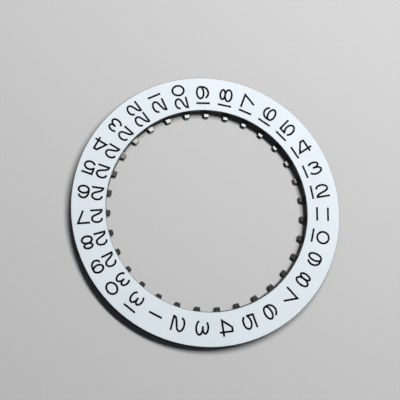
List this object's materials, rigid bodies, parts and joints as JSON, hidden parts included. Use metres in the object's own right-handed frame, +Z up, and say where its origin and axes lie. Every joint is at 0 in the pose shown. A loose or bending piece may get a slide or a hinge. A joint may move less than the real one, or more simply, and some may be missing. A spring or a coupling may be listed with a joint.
{
  "type": "watch date wheel",
  "caption": "Flat white ring printed with the days of the month in black, over a thin ring of internal teeth that a watch movement turns.",
  "frame": {"origin": "centre of the underside of the toothed ring", "axes": "+Z up, out of the printed face; +X passes through date 11, and the dates rise counter-clockwise seen from above"},
  "size_m": [0.0244, 0.0244, 0.001],
  "materials": {
    "ring_metal": "nickel-plated, bright flat faces, dark sheared edges",
    "disc_metal": "black-nickel plated, satin",
    "adhesive": "cured adhesive film",
    "face_white": "sprayed white lacquer, satin",
    "ink": "pad-printed black ink"
  },
  "bodies": {
    "root": {"toothed_ring": "ring_metal", "bond_film": "adhesive", "date_disc": "disc_metal", "face_lacquer": "face_white", "date_01": "ink", "date_02": "ink", "date_03": "ink", "date_04": "ink", "date_05": "ink", "date_06": "ink", "date_07": "ink", "date_08": "ink", "date_09": "ink", "date_10_tens": "ink", "date_10_units": "ink", "date_11_tens": "ink", "date_11_units": "ink", "date_12_tens": "ink", "date_12_units": "ink", "date_13_tens": "ink", "date_13_units": "ink", "date_14_tens": "ink", "date_14_units": "ink", "date_15_tens": "ink", "date_15_units": "ink", "date_16_tens": "ink", "date_16_units": "ink", "date_17_tens": "ink", "date_17_units": "ink", "date_18_tens": "ink", "date_18_units": "ink", "date_19_tens": "ink", "date_19_units": "ink", "date_20_tens": "ink", "date_20_units": "ink", "date_21_tens": "ink", "date_21_units": "ink", "date_22_tens": "ink", "date_22_units": "ink", "date_23_tens": "ink", "date_23_units": "ink", "date_24_tens": "ink", "date_24_units": "ink", "date_25_tens": "ink", "date_25_units": "ink", "date_26_tens": "ink", "date_26_units": "ink", "date_27_tens": "ink", "date_27_units": "ink", "date_28_tens": "ink", "date_28_units": "ink", "date_29_tens": "ink", "date_29_units": "ink", "date_30_tens": "ink", "date_30_units": "ink", "date_31_tens": "ink", "date_31_units": "ink"}
  },
  "joints": []
}
